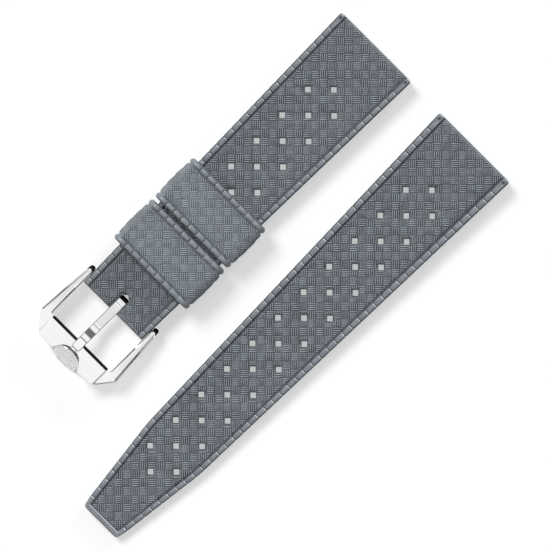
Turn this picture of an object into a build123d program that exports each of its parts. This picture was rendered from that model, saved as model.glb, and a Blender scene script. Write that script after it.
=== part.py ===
from build123d import *
from math import radians, cos, sin
import os

os.makedirs("parts", exist_ok=True)

# A two-piece rubber dive strap lying flat: two moulded halves side by side, two keepers and a steel pin buckle.
# +X runs towards the lug ends, the buckle half lies on the +Y side, and z = 0 is the table.
# The origin is the middle of the whole strap's box, on the table.

# Plan sizes of the two halves
lug_width = 20.0
long_length = 108.0
short_length = 76.0
half_spacing = 28.6
lug_stagger = 0.3
shoulder_length = 21.3
shoulder_width = 14.9
shoulder_radius = 9.0
tip_width = 9.6
tip_radius = 0.8
buckle_end_width = 16.6

# Thickness of the halves, measured to the top of the rims
lug_thickness = 4.25
tail_thickness = 2.3
nose_thickness = 3.25
belly_thickness = 2.85
rim_rise = 0.35
end_radius = 0.9
nose_round_share = 0.42
nose_length = 4.3
belly_start = 6.2
rest_length = 17.6

# Raised rims along the edges, pinched into short lengths like a rope
long_rim_width = 1.55
short_rim_width = 1.35
tip_rim_width = 1.2
rim_outer_round = 0.55
rim_inner_round = 0.3
groove_pitch = 2.2
groove_width = 0.22
groove_depth = 0.3
last_segment = 4.0

# Square perforations, turned 45 degrees to the strap, in a middle row and two outer rows
hole_side = 1.3
hole_turn = 45
hole_pitch = 7.38
hole_first = 12.3
outer_row_offset = 3.8
tail_clear = 14.0

# Bores for the watch's own spring bars
lug_bore_radius = 0.95
lug_bore_inset = 2.2

# Keepers, two rubber loops with a bead on each edge
keeper_length = 11.1
keeper_setback = 10.8
keeper_spacing = 0.75
keeper_wall = 0.75
keeper_bulge = 0.3
keeper_inner_height = 5.4
keeper_corner = 1.25
keeper_side_gap = 0.14
keeper_floor_gap = 0.3
bead_radius = 0.65
bead_proud = 0.35
bead_pitch = 2.1
bead_pinch = 0.25
keeper_travel = 7.0

# Spring bar in the buckle end
bar_inset = 2.5
bar_radius = 0.8
bar_bore = 0.6
bar_end_wall = 0.35
pin_radius = 0.4
collar_radius = 0.55
collar_length = 1.6
pin_recess = 0.15
pin_chamfer = 0.1
wire_radius = 0.09
spring_turns = 20
running_gap = 0.05
stop_gap = 0.02

# Steel buckle
buckle_width = 21.3
buckle_reach = 16.45
buckle_height = 4.75
corner_run = 3.1
corner_cut = 2.4
nose_run = 0.75
nose_cut = 1.0
arm_width = 1.18
arm_gap = 0.1
crossbar_depth = 4.4
crossbar_lean = 0.45
crossbar_rise = 0.2
crossbar_width = 15.4
crossbar_sag = 0.2
arm_end_radius = 1.32
arm_knee = 4.6
arm_knee_drop = 0.15
cheek_drop = 0.55
window_radius = 0.6
facet = 0.3
notch_depth = 0.7
notch_gap = 0.2

# Round boss on the front of the crossbar
coin_radius = 4.2
coin_thickness = 0.6
coin_tilt = 50.6
coin_bulge = 0.95
coin_foot = 0.3
coin_height = 1.9
coin_rim = 0.45
coin_dish = 0.15

# Tongue
tongue_width = 2.0
tongue_thickness = 0.85
tongue_tip_thickness = 0.75
tongue_slot_gap = 0.25
tongue_setback = 3.15
tongue_tip_length = 3.3
tongue_ramp_run = 2.2
tongue_bend = 0.35
tongue_tip_gap = 0.05
tongue_tip_radius = 0.5
slot_end_gap = 0.4
slot_hole_offset = 1.15

overrun = 1.0
touch = 0.001

# Where each half lies
overall_length = long_length + lug_stagger
long_tip_x = -overall_length / 2
short_end_x = overall_length / 2 - short_length
side_shift = (buckle_width - lug_width) / 4
long_y = -half_spacing / 2 - side_shift
short_y = half_spacing / 2 - side_shift

# Heights on the buckle half: the keepers' lower walls lift it off the table
keeper_floor = bead_proud + keeper_wall
belly_z = keeper_floor + keeper_floor_gap
short_top = belly_z + belly_thickness
nose_z = short_top - nose_thickness
bar_x = short_end_x + bar_inset
bar_z = (nose_z + short_top - rim_rise) / 2
keeper_end = keeper_setback + 2 * keeper_length + keeper_spacing
rise_start = keeper_end + keeper_travel + keeper_wall


def half_points(length, stations, lead):
    """Outline from (distance from the lug end, width) stations, drawn from the far end."""
    (near, near_width), (far, far_width) = stations[:2]
    taper = (near_width - far_width) / (far - near)
    start = (length + lead, (near_width + taper * lead) / 2)
    side = [start] + [(length - run, width / 2) for run, width in stations[1:]]
    return side + [(x, -y) for x, y in reversed(side)]


def short_width_at(run):
    """Width of the buckle half at a distance from its lug end."""
    return lug_width - (lug_width - buckle_end_width) * run / short_length


def hole_places(length, clear):
    """Centres of the perforations, in a middle row and two staggered outer rows, up to a clear far end."""
    count = int((length - hole_first - clear) / hole_pitch) + 1
    middle = [(length - hole_first - hole_pitch * i, 0) for i in range(count)]
    outer = [(x - hole_pitch / 2, side * outer_row_offset) for x, y in middle[:-1] for side in (-1, 1)]
    return middle + outer


def groove_places(length, stop):
    """Places of the cuts that pinch the rims, from the last segment at the lugs to the far end."""
    count = int((length - last_segment - stop) / groove_pitch) + 1
    return [(length - last_segment - groove_pitch * i, 0) for i in range(count)]


def long_edges_on(candidates, plane):
    """The edges that lie on a plane and run along the strap."""
    on_plane = candidates.filter_by(lambda e: abs(plane.to_local_coords(e @ 0.5).Z) < touch)
    return on_plane.filter_by(lambda e: e.bounding_box().size.X > touch)


# Long half: a tapering strap with a tail, flat on the table
long_stations = [(0, lug_width), (long_length - shoulder_length, shoulder_width), (long_length, tip_width)]
tail_taper = (shoulder_width - tip_width) / shoulder_length
tip_rim_saving = long_rim_width - tip_rim_width
panel_end = (long_length + tip_rim_saving, tip_width - tail_taper * tip_rim_saving)
panel_stations = long_stations[:-1] + [panel_end]
long_floor = Plane(origin=(long_tip_x, long_y, 0))
long_side = Plane(origin=(long_tip_x, long_y, 0), x_dir=(1, 0, 0), z_dir=(0, -1, 0))
long_fall = lug_thickness - tail_thickness
long_slope = Plane(
    origin=(long_tip_x, long_y, tail_thickness),
    x_dir=(long_length, 0, long_fall),
    z_dir=(-long_fall, 0, long_length),
)

with BuildPart() as long_half:
    with BuildSketch(long_floor):
        with BuildLine():
            Polyline(*half_points(long_length, long_stations, 0), close=True)
        make_face()
        shoulders = vertices().sort_by(Axis.X)[2:4]
        fillet(shoulders, radius=shoulder_radius)
        fillet(vertices().group_by(Axis.X)[0], radius=tip_radius)
    extrude(amount=lug_thickness)
    with BuildSketch(long_side):
        with BuildLine():
            Polyline((0, 0), (long_length, 0), (long_length, lug_thickness), (0, tail_thickness), close=True)
        make_face()
        fillet(vertices().group_by(Axis.X)[-1], radius=end_radius)
    extrude(amount=lug_width, both=True, mode=Mode.INTERSECT)
    fillet(long_edges_on(edges(), long_slope), radius=rim_outer_round)
    with BuildSketch(long_slope.offset(-rim_rise)):
        with BuildLine():
            Polyline(*half_points(long_length, panel_stations, 2 * long_rim_width), close=True)
        make_face()
        offset(amount=-long_rim_width, kind=Kind.INTERSECTION, mode=Mode.REPLACE)
        fillet(vertices().sort_by(Axis.X)[2:4], radius=shoulder_radius)
    extrude(amount=rim_rise + overrun, mode=Mode.SUBTRACT)
    fillet(long_edges_on(edges(Select.NEW), long_slope), radius=rim_inner_round)
    with BuildSketch(long_slope):
        with Locations(*groove_places(long_length, 2 * tip_rim_width)):
            Rectangle(groove_width, 2 * lug_width)
    extrude(amount=-groove_depth, mode=Mode.SUBTRACT)
    with BuildSketch(long_floor):
        with Locations(*hole_places(long_length, tail_clear)):
            Rectangle(hole_side, hole_side, rotation=hole_turn)
    extrude(amount=lug_thickness, mode=Mode.SUBTRACT)
    with BuildSketch(long_side):
        with Locations((long_length - lug_bore_inset, (lug_thickness - rim_rise) / 2)):
            Circle(lug_bore_radius)
    extrude(amount=lug_width, both=True, mode=Mode.SUBTRACT)

long_half.part.label = "long_half"
export_step(long_half.part, "parts/long_half.step")

# Short half: lug end on the table, belly lifted by the keepers, rounded nose round the spring bar
short_stations = [(0, lug_width), (short_length, buckle_end_width)]
short_panel_run = short_length + 2 * short_rim_width
short_panel_stations = [(0, lug_width), (short_panel_run, short_width_at(short_panel_run))]
short_floor = Plane(origin=(short_end_x, short_y, 0))
short_side = Plane(origin=(short_end_x, short_y, 0), x_dir=(1, 0, 0), z_dir=(0, -1, 0))
nose_radius = nose_thickness * nose_round_share
slot_width = tongue_width + 2 * tongue_slot_gap
slot_length = bar_inset + arm_end_radius + slot_end_gap

with BuildPart() as short_half:
    with BuildSketch(short_floor):
        with BuildLine():
            Polyline(*half_points(short_length, short_stations, 0), close=True)
        make_face()
    extrude(amount=short_top)
    fillet(long_edges_on(edges(), short_floor.offset(short_top)), radius=rim_outer_round)
    with BuildSketch(short_side):
        with BuildLine():
            Polyline(
                (0, nose_z),
                (nose_length, nose_z),
                (belly_start, belly_z),
                (rise_start, belly_z),
                (short_length - rest_length, 0),
                (short_length, 0),
                (short_length, short_top),
                (0, short_top),
                close=True,
            )
        make_face()
        fillet(vertices().group_by(Axis.X)[-1], radius=end_radius)
        fillet(vertices().group_by(Axis.X)[0], radius=nose_radius)
    extrude(amount=lug_width, both=True, mode=Mode.INTERSECT)
    with BuildSketch(short_floor.offset(short_top - rim_rise)):
        with BuildLine():
            Polyline(*half_points(short_length, short_panel_stations, 2 * short_rim_width), close=True)
        make_face()
        offset(amount=-short_rim_width, kind=Kind.INTERSECTION, mode=Mode.REPLACE)
    extrude(amount=rim_rise + overrun, mode=Mode.SUBTRACT)
    fillet(long_edges_on(edges(Select.NEW), short_floor.offset(short_top)), radius=rim_inner_round)
    with BuildSketch(short_floor.offset(short_top)):
        with Locations(*groove_places(short_length, short_rim_width)):
            Rectangle(groove_width, 2 * lug_width)
    extrude(amount=-groove_depth, mode=Mode.SUBTRACT)
    with BuildSketch(short_floor):
        with Locations(*hole_places(short_length, keeper_end)):
            Rectangle(hole_side, hole_side, rotation=hole_turn)
        Rectangle(2 * slot_length, slot_width)
        with Locations((bar_inset + slot_hole_offset, 0)):
            Rectangle(hole_side, hole_side, rotation=hole_turn)
    extrude(amount=short_top, mode=Mode.SUBTRACT)
    with BuildSketch(short_side):
        with Locations((short_length - lug_bore_inset, (short_top - rim_rise) / 2)):
            Circle(lug_bore_radius)
        with Locations((bar_inset, bar_z)):
            Circle(bar_radius + running_gap)
    extrude(amount=lug_width, both=True, mode=Mode.SUBTRACT)

short_half.part.label = "short_half"
export_step(short_half.part, "parts/short_half.step")

# Keepers: a rounded loop whose sides swell between two segmented beads
keeper_inner_width = short_width_at(short_length - keeper_end - keeper_travel) + 2 * keeper_side_gap
keeper_mid_z = keeper_floor + keeper_inner_height / 2
keeper_outer_width = keeper_inner_width + 2 * keeper_wall
keeper_outer_height = keeper_inner_height + 2 * keeper_wall
bead_inset = bead_radius - bead_proud
bead_outer_width = keeper_outer_width + 2 * bead_proud
bead_outer_height = keeper_outer_height + 2 * bead_proud
top_pinches = int(keeper_inner_width / bead_pitch)
side_pinches = int(keeper_inner_height / bead_pitch)
keeper_fronts = {
    "keeper_front": short_end_x + keeper_setback,
    "keeper_rear": short_end_x + keeper_setback + keeper_length + keeper_spacing,
}

for keeper_name, front_x in keeper_fronts.items():
    front_plane = Plane(origin=(front_x, short_y, keeper_mid_z), x_dir=(0, 1, 0), z_dir=(1, 0, 0))
    with BuildPart() as keeper:
        with BuildSketch(front_plane.offset(bead_radius)):
            RectangleRounded(keeper_outer_width + 2 * keeper_bulge, keeper_outer_height, keeper_corner)
        extrude(amount=keeper_length - 2 * bead_radius)
        with BuildSketch(Plane(origin=(front_x, short_y, 0))):
            with BuildLine():
                for side in (1, -1):
                    ThreePointArc(
                        (bead_radius, side * keeper_outer_width / 2),
                        (keeper_length / 2, side * (keeper_outer_width / 2 + keeper_bulge)),
                        (keeper_length - bead_radius, side * keeper_outer_width / 2),
                    )
                for end in (bead_radius, keeper_length - bead_radius):
                    Line((end, keeper_outer_width / 2), (end, -keeper_outer_width / 2))
            make_face()
        extrude(amount=2 * keeper_mid_z, mode=Mode.INTERSECT)
        for bead_middle in (bead_radius, keeper_length - bead_radius):
            bead_plane = front_plane.offset(bead_middle)
            with BuildSketch(bead_plane, mode=Mode.PRIVATE) as loop:
                RectangleRounded(
                    bead_outer_width - 2 * bead_radius,
                    bead_outer_height - 2 * bead_radius,
                    keeper_corner - bead_inset,
                )
            loop_path = loop.sketch.face().outer_wire()
            with BuildSketch(Plane(origin=loop_path @ 0, z_dir=loop_path % 0)):
                Circle(bead_radius)
            sweep(path=loop_path)
            with BuildSketch(bead_plane.offset(-bead_radius)):
                with GridLocations(bead_pitch, 0, top_pinches, 1):
                    Rectangle(groove_width, 2 * bead_outer_height)
                with GridLocations(0, bead_pitch, 1, side_pinches):
                    Rectangle(2 * bead_outer_width, groove_width)
                RectangleRounded(
                    bead_outer_width - 2 * bead_pinch,
                    bead_outer_height - 2 * bead_pinch,
                    keeper_corner,
                    mode=Mode.SUBTRACT,
                )
            extrude(amount=2 * bead_radius, mode=Mode.SUBTRACT)
        with BuildSketch(front_plane):
            RectangleRounded(keeper_inner_width, keeper_inner_height, keeper_corner - keeper_wall)
        extrude(amount=keeper_length, mode=Mode.SUBTRACT)
    keeper.part.label = keeper_name
    export_step(keeper.part, f"parts/{keeper_name}.step")

# Spring bar: a tube with rolled-in ends that hold two sprung tips
arm_inner = short_width_at(short_length - bar_inset - arm_end_radius) / 2 + arm_gap
arm_outer = arm_inner + arm_width
tube_half = arm_inner - arm_gap
collar_stop = tube_half - bar_end_wall - stop_gap
bar_axis = Plane(origin=(bar_x, short_y, bar_z), x_dir=(1, 0, 0), z_dir=(0, -1, 0))

with BuildPart() as bar_tube:
    with BuildSketch(bar_axis):
        Circle(bar_radius)
        Circle(pin_radius + running_gap, mode=Mode.SUBTRACT)
    extrude(amount=tube_half, both=True)
    with BuildSketch(bar_axis):
        Circle(bar_bore)
    extrude(amount=tube_half - bar_end_wall, both=True, mode=Mode.SUBTRACT)

bar_tube.part.label = "bar_tube"
export_step(bar_tube.part, "parts/bar_tube.step")

for tip_name, side in (("bar_tip_left", 1), ("bar_tip_right", -1)):
    outward = Plane(origin=(bar_x, short_y, bar_z), x_dir=(1, 0, 0), z_dir=(0, side, 0))
    with BuildPart() as bar_tip:
        with BuildSketch(outward.offset(collar_stop - collar_length)):
            Circle(collar_radius)
        extrude(amount=collar_length)
        with BuildSketch(outward.offset(collar_stop)):
            Circle(pin_radius)
        extrude(amount=arm_outer - pin_recess - collar_stop)
        chamfer(edges().sort_by(Axis.Y)[-1 if side > 0 else 0], length=pin_chamfer)
    bar_tip.part.label = tip_name
    export_step(bar_tip.part, f"parts/{tip_name}.step")

spring_room = 2 * (collar_stop - collar_length - stop_gap)
spring_run = spring_room - 2 * wire_radius
spring_radius = collar_radius - wire_radius

with BuildPart() as bar_spring:
    with BuildLine() as coil:
        Helix(
            pitch=spring_run / spring_turns,
            height=spring_run,
            radius=spring_radius,
            center=(bar_x, short_y - spring_run / 2, bar_z),
            direction=(0, 1, 0),
        )
    with BuildSketch(Plane(origin=coil.line @ 0, z_dir=coil.line % 0)):
        Circle(wire_radius)
    sweep(path=coil.line, is_frenet=True)

bar_spring.part.label = "bar_spring"
export_step(bar_spring.part, "parts/bar_spring.step")

# Buckle frame: a crossbar with cut corners and two arms that thin towards the spring bar
frame_floor = Plane(origin=(bar_x, short_y, 0))
frame_side = Plane(origin=(bar_x, short_y, 0), x_dir=(1, 0, 0), z_dir=(0, -1, 0))
window_x = crossbar_depth + crossbar_lean - buckle_reach
crossbar_rear = crossbar_depth - buckle_reach
crossbar_top = buckle_height + crossbar_rise
tongue_reach = buckle_reach - tongue_setback
tongue_ramp_end = tongue_reach - tongue_tip_length
tongue_ramp_start = tongue_ramp_end - tongue_ramp_run
front_x = crossbar_sag - buckle_reach
cheek_x = front_x + nose_run
corner_x = cheek_x + corner_run
cheek_y = buckle_width / 2 - corner_cut
front_y = cheek_y - nose_cut
shank_top = bar_z + arm_end_radius
bulge_radius = (coin_radius**2 + coin_bulge**2) / (2 * coin_bulge)
bulge_centre = bulge_radius - coin_bulge - buckle_reach
coin_face = Plane(
    origin=(bar_x - buckle_reach, short_y, coin_height),
    x_dir=(0, 1, 0),
    z_dir=(-sin(radians(coin_tilt)), 0, cos(radians(coin_tilt))),
)

with BuildPart() as buckle_frame:
    with BuildSketch(frame_floor):
        with BuildLine():
            ThreePointArc((front_x, front_y), (-buckle_reach, 0), (front_x, -front_y))
            for side in (1, -1):
                Polyline(
                    (front_x, side * front_y),
                    (cheek_x, side * cheek_y),
                    (corner_x, side * buckle_width / 2),
                    (arm_end_radius, side * arm_outer),
                )
            Line((arm_end_radius, arm_outer), (arm_end_radius, -arm_outer))
        make_face()
    extrude(amount=crossbar_top)
    with BuildSketch(frame_side):
        with BuildLine():
            Polyline(
                (0, bar_z + arm_end_radius),
                (-arm_knee, buckle_height - arm_knee_drop),
                (crossbar_rear, buckle_height),
                (crossbar_rear, crossbar_top),
                (-buckle_reach - overrun, crossbar_top),
                (-buckle_reach - overrun, 0),
                (window_x, 0),
                (0, bar_z - arm_end_radius),
                close=True,
            )
        make_face()
        with Locations((0, bar_z)):
            Circle(arm_end_radius)
    extrude(amount=buckle_width, both=True, mode=Mode.INTERSECT)
    for side in (1, -1):
        with BuildSketch(frame_side.offset(-side * crossbar_width / 2)):
            with BuildLine():
                Polyline(
                    (crossbar_rear, crossbar_top),
                    (crossbar_rear, buckle_height),
                    (-buckle_reach, buckle_height - cheek_drop),
                    (-buckle_reach, crossbar_top),
                    close=True,
                )
            make_face()
        extrude(amount=-side * buckle_width, mode=Mode.SUBTRACT)
    top_edges = edges().filter_by(GeomType.LINE).filter_by(Axis.Y, reverse=True)
    top_edges = top_edges.filter_by(lambda e: (e @ 0.5).Z > shank_top)
    chamfer(top_edges.filter_by(lambda e: abs((e @ 0.5).Y - short_y) > arm_inner), length=facet)
    with BuildSketch(frame_floor):
        with Locations((window_x, 0)):
            Rectangle(2 * buckle_reach, 2 * arm_inner, align=(Align.MIN, Align.CENTER))
        fillet(vertices().group_by(Axis.X)[0], radius=window_radius)
    extrude(amount=crossbar_top, mode=Mode.SUBTRACT)
    with BuildSketch(frame_side):
        with BuildLine():
            Polyline((window_x, 0), (window_x, crossbar_top), (crossbar_rear, crossbar_top), close=True)
        make_face()
    extrude(amount=crossbar_width / 2, both=True, mode=Mode.SUBTRACT)
    with BuildSketch(frame_floor.offset(coin_foot)):
        with Locations((-buckle_reach, 0)):
            Rectangle(2 * coin_bulge, 2 * coin_radius)
        with Locations((bulge_centre, 0)):
            Circle(bulge_radius, mode=Mode.INTERSECT)
    extrude(amount=buckle_height - coin_foot)
    with BuildSketch(coin_face.offset(-coin_thickness)):
        Circle(coin_radius + running_gap)
    extrude(amount=2 * coin_radius, mode=Mode.SUBTRACT)
    with BuildSketch(frame_floor.offset(crossbar_top)):
        with Locations((-tongue_reach - tongue_tip_gap, 0)):
            Rectangle(crossbar_depth, tongue_width + 2 * notch_gap, align=(Align.MIN, Align.CENTER))
        fillet(vertices().group_by(Axis.X)[0], radius=tongue_tip_radius)
    extrude(amount=-notch_depth, mode=Mode.SUBTRACT)
    with BuildSketch(bar_axis):
        Circle(pin_radius + running_gap)
    extrude(amount=buckle_width, both=True, mode=Mode.SUBTRACT)

buckle_frame.part.label = "buckle_frame"
export_step(buckle_frame.part, "parts/buckle_frame.step")

# Boss: a bare dished disc leaning on the front of the crossbar, trimmed to the crossbar's bow
with BuildPart() as buckle_medallion:
    with BuildSketch(coin_face):
        Circle(coin_radius)
    extrude(amount=-coin_thickness)
    with BuildSketch(frame_floor.offset(coin_foot)):
        with Locations((bulge_centre, 0)):
            Circle(bulge_radius)
    extrude(amount=crossbar_top + coin_radius, mode=Mode.INTERSECT)
    with BuildSketch(coin_face):
        Circle(coin_radius - coin_rim)
    extrude(amount=-coin_dish, mode=Mode.SUBTRACT)

buckle_medallion.part.label = "buckle_medallion"
export_step(buckle_medallion.part, "parts/buckle_medallion.step")

# Tongue: a flat strip curled round the spring bar, stepping up to its seat on the crossbar
shank_bottom = shank_top - tongue_thickness
tip_bottom = crossbar_top - notch_depth + tongue_tip_gap
tip_top = tip_bottom + tongue_tip_thickness

with BuildPart() as buckle_tongue:
    with BuildSketch(frame_side):
        with BuildLine():
            Polyline(
                (0, shank_top),
                (-tongue_ramp_start, shank_top),
                (-tongue_ramp_end, tip_top),
                (-tongue_reach, tip_top),
                (-tongue_reach, tip_bottom),
                (tongue_bend - tongue_ramp_end, tip_bottom),
                (tongue_bend - tongue_ramp_start, shank_bottom),
                (0, shank_bottom),
                close=True,
            )
        make_face()
        bends = vertices().filter_by_position(Axis.X, -tongue_ramp_end, tongue_bend - tongue_ramp_start)
        fillet(bends, radius=tongue_thickness)
        with Locations((0, bar_z)):
            Circle(arm_end_radius)
            Circle(bar_radius + running_gap, mode=Mode.SUBTRACT)
    extrude(amount=tongue_width / 2, both=True)
    fillet(edges().filter_by(Axis.Z).group_by(Axis.X)[0], radius=tongue_tip_radius)

buckle_tongue.part.label = "buckle_tongue"
export_step(buckle_tongue.part, "parts/buckle_tongue.step")
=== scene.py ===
import math
import random

import bmesh
import bpy
from mathutils import Matrix, Vector


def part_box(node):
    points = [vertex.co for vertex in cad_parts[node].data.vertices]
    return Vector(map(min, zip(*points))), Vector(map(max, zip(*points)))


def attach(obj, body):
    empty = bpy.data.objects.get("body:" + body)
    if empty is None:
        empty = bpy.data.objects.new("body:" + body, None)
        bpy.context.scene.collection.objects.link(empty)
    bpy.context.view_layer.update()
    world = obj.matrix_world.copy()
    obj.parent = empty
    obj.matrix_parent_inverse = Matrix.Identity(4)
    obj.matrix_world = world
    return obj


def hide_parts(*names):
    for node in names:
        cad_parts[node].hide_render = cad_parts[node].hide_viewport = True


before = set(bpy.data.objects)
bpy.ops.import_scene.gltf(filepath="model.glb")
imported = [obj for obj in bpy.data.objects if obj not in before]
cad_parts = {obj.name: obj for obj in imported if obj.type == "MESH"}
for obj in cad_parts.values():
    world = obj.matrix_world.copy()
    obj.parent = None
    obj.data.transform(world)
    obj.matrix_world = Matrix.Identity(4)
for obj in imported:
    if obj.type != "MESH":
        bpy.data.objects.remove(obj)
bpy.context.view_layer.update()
bpy.ops.object.select_all(action="DESELECT")

# Long half: the moulded strap with the adjusting holes. The rubber body, its pressed basket weave and the
# rope-like rims all come out of one steel mould, so the weave stands up from a sunk panel between the rims.
# The panel between the weave bars, the grooves and sides of the rim links and the mouths of the holes are
# painted dark as shade, and the rim links carry a painted highlight.
mm = 0.001
rubber_body_colour = (0.145, 0.163, 0.182, 1)
# Painted shade: a dark rubber laid in recesses, grooves, holes and between parts, where shade falls.
rubber_shade_colour = (0.075, 0.086, 0.099, 1)
rubber_weave_colour = (0.205, 0.23, 0.254, 1)
rubber_rim_colour = (0.17, 0.191, 0.213, 1)
# Painted highlight: a light rubber laid on the lit shoulders of the rim links and beads.
rubber_highlight_colour = (0.52, 0.55, 0.58, 1)
long_low, long_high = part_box("long_half")
long_y = (long_low.y + long_high.y) / 2
long_stations = [(0, 10.0 * mm), (86.7 * mm, 7.45 * mm), (108.0 * mm, 4.8 * mm)]
long_rim = (1.55 * mm, 1.15 * mm)
lug_top = 4.25 * mm
tail_top = 2.3 * mm
panel_drop = 0.35 * mm
panel_near = 0.06 * mm
panel_start = 0.1 * mm
lug_round = 0.9 * mm
lug_corner = 0.7 * mm
tip_rim = 1.2 * mm
tip_inset = 0.05 * mm
tail_round = 1 * mm
hole_half = 0.65 * mm
hole_pitch = 7.38 * mm
first_hole = 12.3 * mm
outer_row = 3.8 * mm
hole_margin = 0.12 * mm
long_hole_foot = 0.5 * mm
long_weave_corner = Vector((14.68 * mm, -17.64 * mm, 0))
cell = 1.71 * mm
bars_in_cell = 4
bar_length = 1.62 * mm
bar_pitch = 0.42 * mm
bar_width = 0.26 * mm
bar_rise = 0.17 * mm
bar_crown = 0.06 * mm
bar_round = 0.115 * mm
bar_crown_share = 0.3
lying_rise_shares = (0.6, 0.9)
standing_rise_shares = (0.95, 1.3)
standing_width_share = 0.88
rim_groove = 0.13 * mm
hole_lip = 0.02 * mm
hole_funnel = 0.05 * mm
funnel_deep = 0.5 * mm
bar_steps = 20
least_bar_steps = 2.5
image_right = Vector((1, -1, 0)).normalized()
image_up = Vector((1, 1, 0)).normalized()
link_pitch = 2.2 * mm
last_link = 4.0 * mm
long_tail_link = 2.4 * mm
rim_end_gap = 0.05 * mm
link_gap = 0.05 * mm
link_proud = 0.05 * mm
link_deep = 1.15 * mm
link_round = 0.5 * mm
link_tip = 0.03 * mm
link_front_round = 0.22 * mm
link_back_round = 0.1 * mm
link_end_share = 0.499
link_side_share = 0.9
facing_back = 0.3
facing_front = 0.8
facing_aside = 0.5
facing_shoulder = 0.25
# Half width of the painted highlight on a rim link's shoulder.
highlight_half_width = 0.42 * mm
dimple_radius = 0.42 * mm
dimple_back = 1.0 * mm
dimple_near_share = 1.01
skin_smooth = math.radians(50)
merge_within = 0.001 * mm
grain_height = 0.02 * mm
along_share = 0.99
facing_flat = 0.9


def pick(piece, *others):
    """Makes one piece the active one, with only it and the others selected."""
    bpy.ops.object.select_all(action="DESELECT")
    for item in (piece, *others):
        item.select_set(True)
    bpy.context.view_layer.objects.active = piece


def mode(name):
    """Goes into edit or object mode with the active piece."""
    bpy.ops.object.mode_set(mode=name)


def settle():
    """Puts the place, turn and size of the selected piece into its mesh."""
    bpy.ops.object.transform_apply(location=True, rotation=True, scale=True)


def choose(kind, test):
    """In edit mode, selects only the vertices, edges or faces that pass a test."""
    bpy.ops.mesh.select_mode(type=kind)
    bpy.ops.mesh.select_all(action="DESELECT")
    shape = bmesh.from_edit_mesh(bpy.context.object.data)
    for item in {"VERT": shape.verts, "EDGE": shape.edges, "FACE": shape.faces}[kind]:
        if test(item):
            item.select_set(True)
    shape.select_flush_mode()
    bmesh.update_edit_mesh(bpy.context.object.data)


def runs_along(edge, axis):
    """Whether an edge lies along one axis, 0 for X, 1 for Y, 2 for Z."""
    step = edge.verts[1].co - edge.verts[0].co
    return abs(step[axis]) > along_share * step.length


def merged_copy(node, name):
    """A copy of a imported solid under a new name, its loose triangles merged into one skin."""
    piece = bpy.data.objects.new(name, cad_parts[node].data.copy())
    bpy.context.scene.collection.objects.link(piece)
    pick(piece)
    mode("EDIT")
    bpy.ops.mesh.select_all(action="SELECT")
    bpy.ops.mesh.remove_doubles(threshold=merge_within)
    mode("OBJECT")
    piece.data.materials.clear()
    return piece


def joined(pieces, name, material=None):
    """Joins pieces into one, at the origin, with their own materials or with a single one."""
    pick(*pieces)
    bpy.ops.object.join()
    whole = bpy.context.object
    settle()
    whole.name = name
    if material:
        whole.data.materials.clear()
        whole.data.materials.append(material)
    return whole


def copies_of(model, places):
    """One copy of a modelled piece, with its own mesh, at each placing matrix."""
    made = []
    for place in places:
        twin = model.copy()
        twin.data = model.data.copy()
        twin.matrix_world = place
        bpy.context.scene.collection.objects.link(twin)
        made.append(twin)
    bpy.data.objects.remove(model)
    return made


def add_node(nodes, kind, settings):
    """A new shader node with some of its inputs set."""
    node = nodes.new(kind)
    for socket, value in settings.items():
        node.inputs[socket].default_value = value
    return node


def tone_ramp(nodes, colour, *tones):
    """A ramp between two tones of a colour, each given as its place and its share of the colour."""
    ramp = nodes.new("ShaderNodeValToRGB")
    for stop, (place, share) in zip(ramp.color_ramp.elements, tones):
        stop.position = place
        stop.color = [share * part for part in colour[:3]] + [1]
    return ramp


def rubber(name, colour, grain, dullness, mottle=0.12):
    """Matt moulded rubber: a slightly cloudy grey with a fine grain and uneven dullness."""
    material = bpy.data.materials.new(name)
    material.use_nodes = True
    nodes = material.node_tree.nodes
    links = material.node_tree.links
    skin = nodes["Principled BSDF"]
    skin.inputs["Specular IOR Level"].default_value = 0.45
    place = nodes.new("ShaderNodeTexCoord")
    cloud = add_node(nodes, "ShaderNodeTexNoise", {"Scale": 520, "Detail": 4})
    tint = tone_ramp(nodes, colour, (0.3, 1 - mottle), (0.7, 1 + mottle))
    dull = add_node(nodes, "ShaderNodeMapRange", {"To Min": dullness, "To Max": 1.3 * dullness})
    speck = add_node(nodes, "ShaderNodeTexNoise", {"Scale": 6000, "Detail": 3})
    relief = add_node(nodes, "ShaderNodeBump", {"Strength": grain, "Distance": grain_height})
    links.new(place.outputs["Object"], cloud.inputs["Vector"])
    links.new(place.outputs["Object"], speck.inputs["Vector"])
    links.new(cloud.outputs["Fac"], tint.inputs["Fac"])
    links.new(cloud.outputs["Fac"], dull.inputs["Value"])
    links.new(speck.outputs["Fac"], relief.inputs["Height"])
    links.new(tint.outputs["Color"], skin.inputs["Base Color"])
    links.new(dull.outputs["Result"], skin.inputs["Roughness"])
    links.new(relief.outputs["Normal"], skin.inputs["Normal"])
    return material


rubber_body = rubber("rubber_body", rubber_body_colour, 0.5, 0.5)
# Painted shade, for recesses, grooves, holes and the gaps between parts.
rubber_painted_shade = rubber("rubber_painted_shade", rubber_shade_colour, 0.3, 0.6)
rubber_weave = rubber("rubber_weave", rubber_weave_colour, 0.25, 0.36, 0.2)
rubber_rim = rubber("rubber_rim", rubber_rim_colour, 0.3, 0.42)
# Painted highlight, for the lit shoulders of links and beads.
rubber_painted_highlight = rubber("rubber_painted_highlight_edge", rubber_highlight_colour, 0.2, 0.3)


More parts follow.
